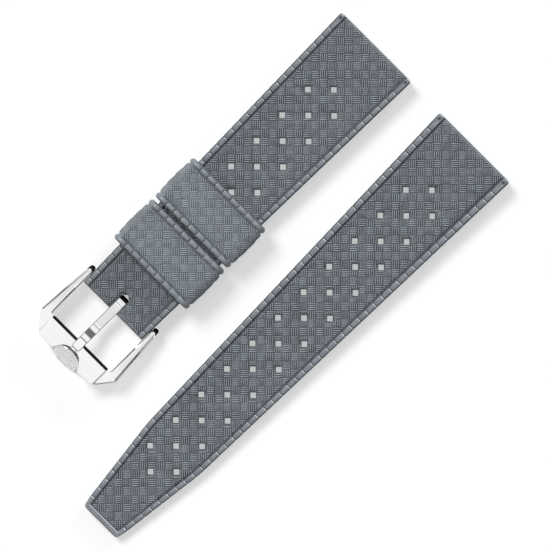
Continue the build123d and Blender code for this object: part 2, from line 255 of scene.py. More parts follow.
def sink(piece, height_at):
    """Brings the solid's plain rims down to the panel, for links to stand on, and paints the panel dark as
    shade between the weave bars.
    """
    for point in piece.data.vertices:
        point.co.z = min(point.co.z, height_at(point.co.x))
    pick(piece)
    mode("EDIT")
    bpy.ops.mesh.select_all(action="SELECT")
    bpy.ops.mesh.remove_doubles(threshold=merge_within)
    mode("OBJECT")
    piece.data.materials.append(rubber_painted_shade)
    for face in piece.data.polygons:
        if face.normal.z > facing_flat and abs(face.center.z - height_at(face.center.x)) < panel_near:
            face.material_index = 1


def rim_width_at(widths, stations, run):
    """Width of a rim at a run from the lug end."""
    return widths[0] + (widths[1] - widths[0]) * run / stations[-1][0]


def half_width_at(stations, run):
    """Half width of a strap half at a run from its lug end."""
    for (near, wide), (far, narrow) in zip(stations, stations[1:]):
        if run <= far or far == stations[-1][0]:
            return wide + (narrow - wide) * (run - near) / (far - near)


def weave_bar():
    """One bar of the weave, a low rounded stick that sinks at both ends."""
    bpy.ops.mesh.primitive_cube_add(size=1)
    bar = bpy.context.object
    bpy.ops.transform.resize(value=(bar_length, bar_width, 2 * bar_rise))
    settle()
    mode("EDIT")
    choose("EDGE", lambda e: runs_along(e, 0))
    bpy.ops.mesh.subdivide(number_cuts=2)
    choose("VERT", lambda v: v.co.z > 0 and abs(v.co.x) < bar_crown_share * bar_length)
    bpy.ops.transform.translate(value=(0, 0, bar_crown))
    choose("EDGE", lambda e: min(v.co.z for v in e.verts) > 0
           and abs(e.verts[0].co.y - e.verts[1].co.y) < bar_round)
    bpy.ops.mesh.bevel(offset=bar_round, segments=2, affect="EDGES")
    mode("OBJECT")
    return bar


def kept_runs(middle, along, across, keep):
    """The stretches of a bar whose two sides both lie on the panel, as (start, end) from its middle."""
    step = bar_length / bar_steps
    runs = []
    for i in range(bar_steps):
        start = i * step - bar_length / 2
        point = middle + along * (start + step / 2)
        if not all(keep(point + across * side * bar_width / 2) for side in (-1, 1)):
            continue
        if runs and start - runs[-1][1] < step / 2:
            runs[-1][1] = start + step
        else:
            runs.append([start, start + step])
    return [run for run in runs if run[1] - run[0] > least_bar_steps * step]


def lay_weave(name, corner, low, high, keep, lift):
    """Lays the bars of a basket weave, turned in every other cell, and lifts them onto a face."""
    chance = random.Random(name)
    reach = int((high - low).length / cell) + 2
    places = []
    for i in range(-reach, reach):
        for j in range(-reach, reach):
            middle = corner + image_right * (i + 0.5) * cell + image_up * (j + 0.5) * cell
            if not all(low[k] - cell < middle[k] < high[k] + cell for k in (0, 1)):
                continue
            lying = (i + j) % 2 == 1
            along, across = (image_right, image_up) if lying else (image_up, -image_right)
            tall = chance.uniform(*(lying_rise_shares if lying else standing_rise_shares))
            slim = 1 if lying else standing_width_share
            for k in range(bars_in_cell):
                line = middle + across * (k - (bars_in_cell - 1) / 2) * bar_pitch
                for start, end in kept_runs(line, along, across, keep):
                    centre = line + along * (start + end) / 2
                    shrink = (end - start) / bar_length
                    turned = Matrix((along * shrink, across * slim, Vector((0, 0, tall)))).transposed()
                    places.append(Matrix.Translation(centre) @ turned.to_4x4())
    weave = joined(copies_of(weave_bar(), places), name, rubber_weave)
    for point in weave.data.vertices:
        point.co = lift(point.co)
    return weave


def rim_link(length, width, highlight_half=highlight_half_width):
    """One link of a rope-like rim: a rounded block that rises a little towards its lug end, painted dark as
    shade on its ends and sides, with a painted highlight on the shoulder facing the lug end.
    """
    bpy.ops.mesh.primitive_cube_add(size=1)
    link = bpy.context.object
    bpy.ops.transform.resize(value=(length, width + link_proud, link_deep))
    bpy.ops.transform.translate(value=(0, 0, link_proud - link_deep / 2))
    settle()
    mode("EDIT")
    choose("VERT", lambda v: v.co.z > 0 and v.co.x < 0)
    bpy.ops.transform.translate(value=(0, 0, -link_tip))
    choose("EDGE", lambda e: runs_along(e, 0) and e.verts[0].co.z > -link_deep / 2)
    bpy.ops.mesh.bevel(offset=link_round, segments=4, affect="EDGES")
    for end, ease, steps in ((1, link_front_round, 2), (-1, link_back_round, 1)):
        choose("EDGE", lambda e: all(v.co.x * end > link_end_share * length for v in e.verts)
               and max(v.co.z for v in e.verts) > link_proud - link_side_share * link_deep)
        bpy.ops.mesh.bevel(offset=ease, segments=steps, affect="EDGES")
    mode("OBJECT")
    for material in (rubber_rim, rubber_painted_shade, rubber_painted_highlight):
        link.data.materials.append(material)
    # Painted shade on the ends and sides of the link, and a painted highlight on its shoulder that faces
    # the lug end.
    for face in link.data.polygons:
        at_end = face.normal.x < -facing_back or face.normal.x > facing_front
        if at_end or abs(face.normal.y) > facing_aside:
            face.material_index = 1
        elif face.normal.x > facing_shoulder and abs(face.center.y) < highlight_half:
            face.material_index = 2
    return link


def lug_link(length, width):
    """The long last link of a rim, with a round dimple near its lug end, painted dark as shade."""
    link = rim_link(length, width)
    spot = (length / 2 - dimple_back, 0, link_proud + dimple_radius / 2)
    bpy.ops.mesh.primitive_uv_sphere_add(segments=24, ring_count=12, radius=dimple_radius, location=spot)
    ball = bpy.context.object
    pick(link)
    dimple = link.modifiers.new("dimple", "BOOLEAN")
    dimple.object = ball
    bpy.ops.object.modifier_apply(modifier="dimple")
    bpy.data.objects.remove(ball)
    for face in link.data.polygons:
        if (face.center - Vector(spot)).length < dimple_near_share * dimple_radius:
            face.material_index = 1
    return link


def rim_joints(length, stop):
    """Runs from the lug end at which the rims are pinched."""
    count = int((length - last_link - stop) / link_pitch) + 1
    return [rim_end_gap] + [last_link + link_pitch * i for i in range(count)]


def lay_rims(name, lug_x, middle_y, stations, widths, stop, top_at):
    """Links of rubber along both edges of a half, turned to follow the edge and the fall of the top."""
    length = stations[-1][0]
    joints = rim_joints(length, stop) + [length - rim_end_gap]
    places = []
    last = joints[1] - joints[0]
    for near, far in zip(joints, joints[1:]):
        width = rim_width_at(widths, stations, (near + far) / 2)
        for side in (1, -1):
            ends = []
            for run in (near, far):
                y = middle_y + side * (half_width_at(stations, run) - width / 2 + link_proud / 2)
                ends.append(Vector((lug_x - run, y, top_at(lug_x - run))))
            along = ends[0] - ends[1]
            across = Vector((0, 0, 1)).cross(along).normalized()
            up = along.cross(across).normalized()
            model_length = last if near == joints[0] else link_pitch
            shrink = (1 - link_gap / along.length) / model_length
            slim = (width + link_proud) / (widths[0] + link_proud)
            turned = Matrix((along * shrink, across * slim, up)).transposed()
            places.append(Matrix.Translation((ends[0] + ends[1]) / 2) @ turned.to_4x4())
    links = copies_of(lug_link(last, widths[0]), places[:2])
    links += copies_of(rim_link(link_pitch, widths[0]), places[2:])
    return joined(links, name)


def round_corners(piece, end_x, middle_y, half_wide, facing=1, radius=lug_corner):
    """Rounds the two corners at one end, seen from above, after cutting the skin there."""
    pick(piece)
    mode("EDIT")
    for back in (radius, radius / 2, radius / 5):
        for place, normal in (
            ((end_x - facing * back, 0, 0), (1, 0, 0)),
            ((0, middle_y + half_wide - back, 0), (0, 1, 0)),
            ((0, middle_y - half_wide + back, 0), (0, 1, 0)),
        ):
            bpy.ops.mesh.select_all(action="SELECT")
            bpy.ops.mesh.bisect(plane_co=place, plane_no=normal)
    mode("OBJECT")
    for point in piece.data.vertices:
        side = 1 if point.co.y > middle_y else -1
        out_x = facing * (point.co.x - end_x) + radius
        out = Vector((out_x, abs(point.co.y - middle_y) - half_wide + radius))
        if min(out) > 0 and out.length > radius:
            out = out.normalized() * radius
            point.co.x = end_x + facing * (out.x - radius)
            point.co.y = middle_y + side * (half_wide - radius + out.y)


def hole_sleeve():
    """The funnel mouth of one perforation: a square sleeve 1 mm high with its foot at the origin."""
    bpy.ops.mesh.primitive_cylinder_add(vertices=4, radius=math.sqrt(2) * (hole_half + hole_lip), depth=mm)
    sleeve = bpy.context.object
    bpy.ops.transform.translate(value=(0, 0, mm / 2))
    settle()
    mode("EDIT")
    choose("FACE", lambda f: f.normal.z > facing_flat)
    bpy.ops.mesh.inset(thickness=2 * hole_lip)
    bpy.ops.mesh.inset(thickness=hole_funnel, depth=-funnel_deep)
    bpy.ops.mesh.delete(type="FACE")
    choose("FACE", lambda f: f.normal.z < -facing_flat)
    bpy.ops.mesh.inset(thickness=2 * hole_lip + hole_funnel)
    bpy.ops.mesh.delete(type="FACE")
    choose("EDGE", lambda e: e.is_boundary)
    bpy.ops.mesh.bridge_edge_loops()
    mode("OBJECT")
    return sleeve


def lay_sleeves(name, middle_y, holes, foot, panel_at):
    """A funnel mouth in every perforation, from a foot inside the rubber up to the panel, all painted dark
    as shade.
    """
    places = []
    for x, y in holes:
        tall = (panel_at(x) - foot - hole_lip) / mm
        places.append(Matrix.Translation((x, middle_y + y, foot)) @ Matrix.Diagonal((1, 1, tall, 1)))
    return joined(copies_of(hole_sleeve(), places), name, rubber_painted_shade)


def hole_rows(lug_x, count):
    """Centres of the perforations from the lug end, the middle row and the two outer rows."""
    middle = [(lug_x - first_hole - hole_pitch * i, 0) for i in range(count)]
    return middle + [(x - hole_pitch / 2, side * outer_row) for x, y in middle[:-1] for side in (1, -1)]


def on_panel(point, lug_x, middle_y, stations, widths, holes, near, far):
    """Whether a point lies on the sunk panel, clear of the perforations."""
    run = lug_x - point.x
    off = point.y - middle_y
    inside = half_width_at(stations, run) - rim_width_at(widths, stations, run) - rim_groove
    if not near < run < far or abs(off) > inside:
        return False
    clear = math.sqrt(2) * (hole_half + hole_margin)
    return not any(abs(point.x - x) + abs(off - y) < clear for x, y in holes)


def long_top(x):
    """Height of the long half's rims, which fall from the lugs to the tail."""
    share = (x - long_low.x) / (long_high.x - long_low.x)
    return tail_top + (lug_top - tail_top) * share


def end_dip(x, end_x):
    """How far the rounded lug end dips at a place."""
    over = max(0, x - end_x + lug_round)
    return lug_round - math.sqrt(max(0, lug_round**2 - over**2))


long_holes = hole_rows(long_high.x, 12)
long_body = merged_copy("long_half", "long_half_rubber")
long_body.data.materials.append(rubber_body)
sink(long_body, lambda x: long_top(x) - panel_drop - end_dip(x, long_high.x))
round_corners(long_body, long_high.x, long_y, long_stations[0][1])
round_corners(long_body, long_low.x, long_y, long_stations[-1][1], -1, tail_round)
long_rims = lay_rims("long_rims", long_high.x, long_y, long_stations, long_rim, long_tail_link, long_top)
round_corners(long_rims, long_high.x, long_y, long_stations[0][1] + link_proud)
round_corners(long_rims, long_low.x, long_y, long_stations[-1][1] + link_proud, -1, tail_round)
tip_width = 2 * (long_stations[-1][1] - tip_inset)
# The tip bar is one long link, with painted shade on its ends and sides and a painted highlight along its
# inner shoulder.
tip_bar = rim_link(tip_rim - tip_inset, tip_width, tip_width / 2 - tip_rim)
bpy.ops.transform.translate(value=(long_low.x + (tip_rim + tip_inset) / 2, long_y, tail_top))
settle()
round_corners(tip_bar, long_low.x, long_y, long_stations[-1][1] + link_proud, -1, tail_round)
long_sleeves = lay_sleeves(
    "long_sleeves", long_y, long_holes, long_hole_foot, lambda x: long_top(x) - panel_drop
)
long_panel_end = long_stations[-1][0] - tip_rim
long_weave = lay_weave(
    "long_weave",
    long_weave_corner,
    long_low,
    long_high,
    lambda p: on_panel(
        p, long_high.x, long_y, long_stations, long_rim, long_holes, panel_start, long_panel_end
    ),
    lambda p: Vector((p.x, p.y, p.z + long_top(p.x) - panel_drop - end_dip(p.x, long_high.x))),
)
pick(long_body, long_rims, tip_bar, long_sleeves, long_weave)
bpy.ops.object.join()
bpy.ops.object.shade_smooth_by_angle(angle=skin_smooth)
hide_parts("long_half")
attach(long_body, "long_strap")

# Short half: the moulded strap that carries the buckle. It has the same weave and rims, and its end is
# slotted for the tongue and wraps the spring bar.
short_low, short_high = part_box("short_half")
short_y = (short_low.y + short_high.y) / 2
short_stations = [(0, 10.0 * mm), (76.0 * mm, 8.3 * mm)]
short_rim = (1.35 * mm, 1.35 * mm)
short_top = 4.25 * mm
short_nose_link = 1.4 * mm
short_hole_foot = 2 * mm
short_weave_corner = Vector((43.74 * mm, 20.04 * mm, 0))
nose_margin = 0.2 * mm
nose_round = 1.365 * mm
nose_low = 1 * mm
slot_end = 4.3 * mm
slot_half = 1.35 * mm
slot_hole = 3.65 * mm
lining_cuts = 15
lining_low = 1.3 * mm
lining_half = 1.27 * mm
lining_far = 4.2 * mm
lining_end_top = 2.6 * mm
lining_sink = 0.02 * mm
channel_half = 1.05 * mm
channel_far = 3.92 * mm
bore_play = 0.05 * mm
bar_low, bar_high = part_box("bar_tube")
short_panel_end = short_stations[-1][0] - nose_margin
short_holes = hole_rows(short_high.x, 5) + [(short_low.x + slot_hole, 0)]


def on_short_panel(point):
    """Whether a point lies on the short half's panel, clear of its holes and of the tongue's slot."""
    if point.x - short_low.x < slot_end and abs(point.y - short_y) < slot_half:
        return False
    return on_panel(
        point, short_high.x, short_y, short_stations, short_rim, short_holes, panel_start, short_panel_end
    )


def nose_dip(x):
    """How far the rounded nose falls short of its full thickness at a place."""
    over = max(0, short_low.x + nose_round - x)
    return nose_round - math.sqrt(max(0, nose_round**2 - over**2))


def short_panel_height(x):
    """Height of the panel, which rounds off at the lug end and at the nose."""
    return short_top - max(panel_drop, nose_dip(x)) - end_dip(x, short_high.x)


def slot_lining():
    """The snug walls of the tongue's slot, painted dark as shade, cut out for the tongue, the square hole
    and the spring bar.
    """
    bpy.ops.mesh.primitive_cube_add(size=1)
    lining = bpy.context.object
    near, far = short_low.x + lining_sink, short_low.x + lining_far
    bpy.ops.transform.resize(value=(far - near, 2 * lining_half, 1))
    bpy.ops.transform.translate(value=((near + far) / 2, short_y, 0))
    settle()
    mode("EDIT")
    choose("EDGE", lambda e: runs_along(e, 0))
    bpy.ops.mesh.subdivide(number_cuts=lining_cuts)
    mode("OBJECT")
    for point in lining.data.vertices:
        if point.co.z > 0:
            point.co.z = short_panel_height(point.co.x) - lining_sink
        else:
            point.co.z = max(lining_low, nose_low + nose_dip(point.co.x) + lining_sink)
    bar = (bar_low + bar_high) / 2
    cutters = []
    for far, low in ((channel_far, -short_top), (2 * lining_far, lining_end_top)):
        bpy.ops.mesh.primitive_cube_add(size=1, location=(short_low.x, short_y, low + short_top))
        bpy.ops.transform.resize(value=(2 * far, 2 * channel_half, 2 * short_top))
        cutters.append(bpy.context.object)
    bpy.ops.mesh.primitive_cylinder_add(
        vertices=4, radius=math.sqrt(2) * hole_half, depth=4 * short_top,
        location=(short_holes[-1][0], short_y, 0)
    )
    cutters.append(bpy.context.object)
    bpy.ops.mesh.primitive_cylinder_add(
        vertices=48, radius=(bar_high.z - bar_low.z) / 2 + bore_play, depth=4 * lining_half,
        location=bar, rotation=(math.pi / 2, 0, 0)
    )
    cutters.append(bpy.context.object)
    for cutter in cutters:
        pick(lining)
        cut = lining.modifiers.new("cut", "BOOLEAN")
        cut.object = cutter
        bpy.ops.object.modifier_apply(modifier="cut")
        bpy.data.objects.remove(cutter)
    lining.data.materials.clear()
    lining.data.materials.append(rubber_painted_shade)
    return lining


short_body = merged_copy("short_half", "short_half_rubber")
short_body.data.materials.append(rubber_body)
sink(short_body, short_panel_height)
round_corners(short_body, short_high.x, short_y, short_stations[0][1])
short_rims = lay_rims(
    "short_rims", short_high.x, short_y, short_stations, short_rim, short_nose_link, lambda x: short_top
)
round_corners(short_rims, short_high.x, short_y, short_stations[0][1] + link_proud)
short_sleeves = lay_sleeves(
    "short_sleeves", short_y, short_holes[:-1], short_hole_foot, lambda x: short_top - panel_drop
)
short_weave = lay_weave(
    "short_weave",
    short_weave_corner,
    short_low,
    short_high,
    on_short_panel,
    lambda p: Vector((p.x, p.y, p.z + short_panel_height(p.x))),
)
pick(short_body, short_rims, slot_lining(), short_sleeves, short_weave)
bpy.ops.object.join()
bpy.ops.object.shade_smooth_by_angle(angle=skin_smooth)
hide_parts("short_half")
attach(short_body, "short_strap")

# Keepers: two moulded rubber loops that hold the tail down. The band of each swells a little at its sides
# and has the weave all round it, painted darker round the shoulders as shade on the bend, and both its
# edges carry a bead, painted dark as shade on its flanks and beside it, with a painted highlight at one end
# of each link.
keeper_band_colour = (0.185, 0.207, 0.23, 1)
keeper_weave_colour = (0.243, 0.271, 0.298, 1)
# Painted shade: the weave round the keepers' shoulders is laid darker, as shade on the bend.
keeper_shoulder_shade_colour = (0.203, 0.227, 0.249, 1)
bead_colour = (0.185, 0.208, 0.23, 1)
keeper_half_wide = 10.1 * mm
keeper_half_high = 3.45 * mm
keeper_corner = 1.25 * mm
keeper_shoulder = 1.6 * mm
shoulder_shade_from = 8.7 * mm
keeper_wall = 0.6 * mm
keeper_middle_z = 3.8 * mm
keeper_long = 11.1 * mm
keeper_swell = 0.3 * mm
seam_margin = 0.1 * mm
bead_radius = 0.64 * mm
bead_inset = 0.22 * mm
bead_from_edge = 0.64 * mm
bead_links = 23
bead_gap = 0.05 * mm
bead_deep = 0.38 * mm
bead_neck = 0.12 * mm
bead_round = 0.1 * mm
bead_near = 0.01 * mm
bead_cuts = 5
bead_foot_share = 1.2
bead_flank = math.radians(50)
bed_half = 0.72 * mm
bed_inwards = 0.12 * mm
bed_thick = 0.06 * mm
bed_cuts = 160
keepers = {
    "keeper_front": ("front_keeper", Vector((-5.43 * mm, 6.71 * mm, 0))),
    "keeper_rear": ("rear_keeper", Vector((4.12 * mm, 3.67 * mm, 0))),
}
rubber_band = rubber("rubber_keeper_band", keeper_band_colour, 0.4, 0.5)
rubber_keeper_weave = rubber("rubber_keeper_weave", keeper_weave_colour, 0.25, 0.42)
rubber_shoulder_shade = rubber("rubber_keeper_shoulder_shade", keeper_shoulder_shade_colour, 0.25, 0.42)
rubber_bead = rubber("rubber_bead", bead_colour, 0.25, 0.3)


def round_the_loop(run, rise, half_wide, half_high, corner):
    """The (y, z) at a run round a rounded oblong from the middle of its top, lifted off it by a rise."""
    side = 1 if run >= 0 else -1
    left = abs(run)
    top = half_wide - corner
    bend = corner * math.pi / 2
    wall = 2 * (half_high - corner)
    if left < top:
        return side * left, half_high + rise
    left -= top
    if left < bend:
        turn = left / corner
        return (
            side * (top + (corner + rise) * math.sin(turn)),
            half_high - corner + (corner + rise) * math.cos(turn),
        )
    left -= bend
    if left < wall:
        return side * (half_wide + rise), half_high - corner - left
    left -= wall
    if left < bend:
        turn = left / corner
        return (
            side * (top + (corner + rise) * math.cos(turn)),
            corner - half_high - (corner + rise) * math.sin(turn),
        )
    left -= bend
    return side * (top - left), -half_high - rise


def off_the_loop(y, z, half_wide, half_high, corner):
    """How far a point lies outside a rounded oblong, and which way that is."""
    over = Vector((abs(y) - half_wide + corner, abs(z) - half_high + corner))
    if min(over) > 0:
        away = over.normalized()
        far = over.length - corner
    else:
        away = Vector((1, 0)) if over.x > over.y else Vector((0, 1))
        far = max(over) - corner
    return far, Vector((math.copysign(away.x, y), math.copysign(away.y, z)))


def bead_link(length):
    """One link of a keeper's bead: a short round stick, thickest in its middle, with eased ends, painted
    dark as shade on its flanks and foot end, with a painted highlight on its other end.
    """
    bpy.ops.mesh.primitive_cylinder_add(
        vertices=16, radius=bead_radius, depth=length, rotation=(math.pi / 2, 0, 0)
    )
    link = bpy.context.object
    settle()
    mode("EDIT")
    choose("EDGE", lambda e: all(abs(abs(v.co.y) - length / 2) < bead_near for v in e.verts))
    slim = 1 - bead_neck / bead_radius
    bpy.ops.transform.resize(value=(slim, 1, slim))
    choose("EDGE", lambda e: e.calc_length() > length / 2)
    bpy.ops.mesh.subdivide(number_cuts=bead_cuts, smoothness=0)
    for point in bmesh.from_edit_mesh(link.data).verts:
        middle = 1 - (2 * point.co.y / length)**2
        swell = (bead_radius - bead_neck * (1 - middle)) / (bead_radius - bead_neck)
        point.co.x *= swell
        point.co.z *= swell
    choose("EDGE", lambda e: all(abs(abs(v.co.y) - length / 2) < bead_near for v in e.verts))
    bpy.ops.mesh.bevel(offset=bead_round, segments=2, affect="EDGES")
    mode("OBJECT")
    for material in (rubber_bead, rubber_painted_shade, rubber_painted_highlight):
        link.data.materials.append(material)
    # Painted shade on the flanks and the foot end, a painted highlight on the other end.
    for face in link.data.polygons:
        lean = abs(math.atan2(face.center.x, face.center.z))
        at_foot = face.center.y < bead_foot_share * bead_round - length / 2
        if at_foot or bead_flank < lean < math.pi - bead_flank:
            face.material_index = 1
        elif face.center.y > length / 2 - bead_round:
            face.material_index = 2
    return link


def bead_bed(length):
    """The thin strip of painted shade that a bead lies in."""
    bpy.ops.mesh.primitive_cube_add(size=1)
    bed = bpy.context.object
    bpy.ops.transform.resize(value=(2 * bed_half, length, bed_thick))
    settle()
    mode("EDIT")
    choose("EDGE", lambda e: runs_along(e, 1))
    bpy.ops.mesh.subdivide(number_cuts=bed_cuts)
    mode("OBJECT")
    return bed


for keeper, (body, weave_corner) in keepers.items():
    low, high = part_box(keeper)
    middle_x = (low.x + high.x) / 2
    loop = merged_copy(keeper, keeper + "_rubber")
    loop.data.materials.append(rubber_band)
    for point in loop.data.vertices:
        y, z = point.co.y - short_y, point.co.z - keeper_middle_z
        far, away = off_the_loop(y, z, keeper_half_wide, keeper_half_high, keeper_corner)
        if far > -keeper_wall:
            rounder, away = off_the_loop(y, z, keeper_half_wide, keeper_half_high, keeper_shoulder)
            point.co.y -= away.x * (rounder - far)
            point.co.z -= away.y * (rounder - far)

    def onto_band(point):
        """A point of the flat weave, wrapped round the swelling band."""
        off = 2 * (point.x - middle_x) / (keeper_long - 2 * bead_from_edge)
        wide = keeper_half_wide + keeper_swell * (1 - off**2)
        y, z = round_the_loop(point.y, point.z, wide, keeper_half_high, keeper_shoulder)
        return Vector((point.x, short_y + y, keeper_middle_z + z))

    half_round = 2 * (keeper_half_wide + keeper_half_high) + keeper_shoulder * (math.pi - 4)
    band_half = keeper_long / 2 - bead_from_edge - bed_inwards - bed_half
    weave = lay_weave(
        keeper + "_weave",
        weave_corner,
        Vector((middle_x - band_half, -half_round, 0)),
        Vector((middle_x + band_half, half_round, 0)),
        lambda p: abs(p.x - middle_x) < band_half and abs(p.y) < half_round - seam_margin,
        onto_band,
    )
    weave.data.materials[0] = rubber_keeper_weave
    # Painted shade: the weave beyond the shoulder line takes the darker rubber.
    weave.data.materials.append(rubber_shoulder_shade)
    for face in weave.data.polygons:
        if abs(face.center.y - short_y) > shoulder_shade_from:
            face.material_index = 1
    bead_half_wide = keeper_half_wide - bead_inset
    bead_half_high = keeper_half_high - bead_inset
    bead_corner = keeper_shoulder - bead_inset
    bead_round_trip = 4 * (bead_half_wide + bead_half_high) + bead_corner * (2 * math.pi - 8)
    link_run = bead_round_trip / bead_links
    beads = []
    for edge_x in (low.x + bead_from_edge, high.x - bead_from_edge):
        runs = [(i - (bead_links - 1) / 2) * link_run for i in range(bead_links)]
        spots = [Matrix.Translation((edge_x, run, 0)) for run in runs]
        bead = joined(copies_of(bead_link(link_run - bead_gap), spots), "bead")
        bed_x = edge_x + math.copysign(bed_inwards, middle_x - edge_x)
        spot = Matrix.Translation((bed_x, 0, bead_inset))
        bed = joined(copies_of(bead_bed(bead_round_trip), [spot]), "bed", rubber_painted_shade)
        for strip in (bead, bed):
            for point in strip.data.vertices:
                rise = max(-bead_deep, point.co.z)
                y, z = round_the_loop(point.co.y, rise, bead_half_wide, bead_half_high, bead_corner)
                point.co = Vector((point.co.x, short_y + y, max(0, keeper_middle_z + z)))
            beads.append(strip)
    pick(loop, weave, *beads)
    bpy.ops.object.join()
    bpy.ops.object.shade_smooth_by_angle(angle=skin_smooth)
    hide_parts(keeper)
    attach(loop, body)

# Buckle frame: a crossbar and two arms milled from one bar of steel and polished bright. Its edges are
# broken with small dull facets, painted dark along the arms and steps and faint grey along the front, as
# reflections, and the crossbar's rear wall, its steps and the arms' ends are painted near black as shade
# and dark reflection.
steel_colour = (0.93, 0.93, 0.92, 1)
# Painted reflections: dark for edge facets, near black for shade and dark reflection, faint grey for the
# front edges.
painted_edge_colour = (0.15, 0.16, 0.17, 1)
painted_dark_colour = (0.015, 0.018, 0.023, 1)
painted_faint_colour = (0.72, 0.725, 0.73, 1)
tongue_colour = (0.93, 0.93, 0.935, 1)
edge_facet = 0.12 * mm
inner_facet = 0.2 * mm
end_facet = 0.3 * mm
line_height = 0.004 * mm
flat_within = math.radians(0.5)
sharp_from = math.radians(35)
unbroken_smooth = math.radians(30)
facet_smooth = math.radians(20)


def steel(name, colour, rough, line_depth, edge_tone=1, stretch_by=(1, 12, 12), shade=0.04):
    """Polished steel: bright, with the faint uneven lines that a polishing wheel leaves."""
    material = bpy.data.materials.new(name)
    material.use_nodes = True
    nodes = material.node_tree.nodes
    links = material.node_tree.links
    skin = nodes["Principled BSDF"]
    skin.inputs["Metallic"].default_value = 1
    skin.inputs["Specular Tint"].default_value = (edge_tone, edge_tone, edge_tone, 1)
    place = nodes.new("ShaderNodeTexCoord")
    stretch = add_node(nodes, "ShaderNodeMapping", {"Scale": stretch_by})
    lines = add_node(nodes, "ShaderNodeTexNoise", {"Scale": 700, "Detail": 5})
    tint = tone_ramp(nodes, colour, (0.35, 1 - shade), (0.65, 1))
    gloss = add_node(nodes, "ShaderNodeMapRange", {"To Min": rough, "To Max": 1.6 * rough})
    relief = add_node(nodes, "ShaderNodeBump", {"Strength": line_depth, "Distance": line_height})
    links.new(place.outputs["Object"], stretch.inputs["Vector"])
    links.new(stretch.outputs["Vector"], lines.inputs["Vector"])
    links.new(lines.outputs["Fac"], tint.inputs["Fac"])
    links.new(lines.outputs["Fac"], gloss.inputs["Value"])
    links.new(lines.outputs["Fac"], relief.inputs["Height"])
    links.new(tint.outputs["Color"], skin.inputs["Base Color"])
    links.new(gloss.outputs["Result"], skin.inputs["Roughness"])
    links.new(relief.outputs["Normal"], skin.inputs["Normal"])
    return material


polished = steel("polished_steel", steel_colour, 0.07, 0.05)
# Painted reflection and shade finishes for edges, walls and ends.
painted_edge_steel = steel("painted_dark_edge", painted_edge_colour, 0.6, 0.05, 0)
painted_dark_steel = steel("painted_dark_reflection", painted_dark_colour, 0.25, 0.05, 0)
painted_faint_edge = steel("painted_faint_edge", painted_faint_colour, 0.6, 0.05)
tongue_steel = steel("tongue_steel", tongue_colour, 0.02, 0.03)


def steel_copy(node, name, finish):
    """A copy of a packed steel part with the finishes that its faces can have: its own, then the painted
    dark edge, painted near black and painted faint grey ones that stand for reflections and shade.
    """
    piece = merged_copy(node, name)
    for material in (finish, painted_edge_steel, painted_dark_steel, painted_faint_edge):
        piece.data.materials.append(material)
    return piece


def make_faces_whole(piece):
    """Joins the triangles of each flat face of one finish into one face."""
    pick(piece)
    mode("EDIT")
    bpy.ops.mesh.select_all(action="SELECT")
    bpy.ops.mesh.dissolve_limited(angle_limit=flat_within, delimit={"MATERIAL"})
    mode("OBJECT")


def break_edges(piece, facet, finish, test):
    """Breaks the sharp edges of a steel part that pass a test, with a facet in one of its finishes, here
    always one of the painted reflection and shade ones.
    """
    pick(piece)
    bpy.ops.object.shade_smooth_by_angle(angle=unbroken_smooth)
    mode("EDIT")
    choose("EDGE", lambda e: len(e.link_faces) == 2 and e.calc_face_angle() > sharp_from and test(e))
    bpy.ops.mesh.bevel(offset=facet, segments=1, affect="EDGES", material=finish, clamp_overlap=False)
    mode("OBJECT")
    bpy.ops.object.shade_smooth_by_angle(angle=facet_smooth)


frame_low, frame_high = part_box("buckle_frame")
frame_y = (frame_low.y + frame_high.y) / 2
crossbar_half = 7.7 * mm
step_foot = 4.0 * mm
step_near = 0.1 * mm
facing_up = 0.97
wall_x = -30.8 * mm
arm_end_x = -19.3 * mm
notch_half = 1.5 * mm
front_edges_x = -31.6 * mm
arm_inside = 8.7 * mm
inner_edge_foot = 3.5 * mm
buckle = steel_copy("buckle_frame", "buckle_frame_steel", polished)
make_faces_whole(buckle)
# The rear wall, the steps and the arms' ends are painted near black, as shade and dark reflection.
for face in buckle.data.polygons:
    off = abs(face.center.y - frame_y)
    on_rear_wall = face.normal.x > facing_flat and face.center.x < wall_x and off < crossbar_half
    beside = abs(off - crossbar_half) < step_near
    on_step = abs(face.normal.y) > facing_flat and face.center.z > step_foot and beside
    on_arm_end = face.center.x > arm_end_x and face.normal.z < facing_up
    if on_rear_wall or on_step or on_arm_end:
        face.material_index = 2


def on_inner_edge(edge):
    """Whether an edge is the upper inner edge of an arm."""
    middle = (edge.verts[0].co + edge.verts[1].co) / 2
    off = abs(middle.y - frame_y)
    return crossbar_half < off < arm_inside and middle.z > inner_edge_foot and middle.x > wall_x


def on_arm_edge(edge):
    """Whether an edge is one of the long edges of the arms, away from their ends."""
    middle = (edge.verts[0].co + edge.verts[1].co) / 2
    return middle.x > wall_x and max(v.co.x for v in edge.verts) < arm_end_x and edge.calc_length() > mm


def on_step_edge(edge):
    """Whether an edge is the upper one of a step at the ends of the crossbar."""
    middle = (edge.verts[0].co + edge.verts[1].co) / 2
    beside = abs(abs(middle.y - frame_y) - crossbar_half) < step_near
    return runs_along(edge, 0) and beside and middle.x < wall_x


def on_front_edge(edge):
    """Whether an edge is one of the crossbar's, away from its rear wall, steps and notch."""
    middle = (edge.verts[0].co + edge.verts[1].co) / 2
    return middle.x < front_edges_x and abs(middle.y - frame_y) > notch_half and not on_step_edge(edge)


def on_end_edge(edge):
    """Whether an edge follows the round end of an arm."""
    return min(v.co.x for v in edge.verts) > arm_end_x and not runs_along(edge, 1)


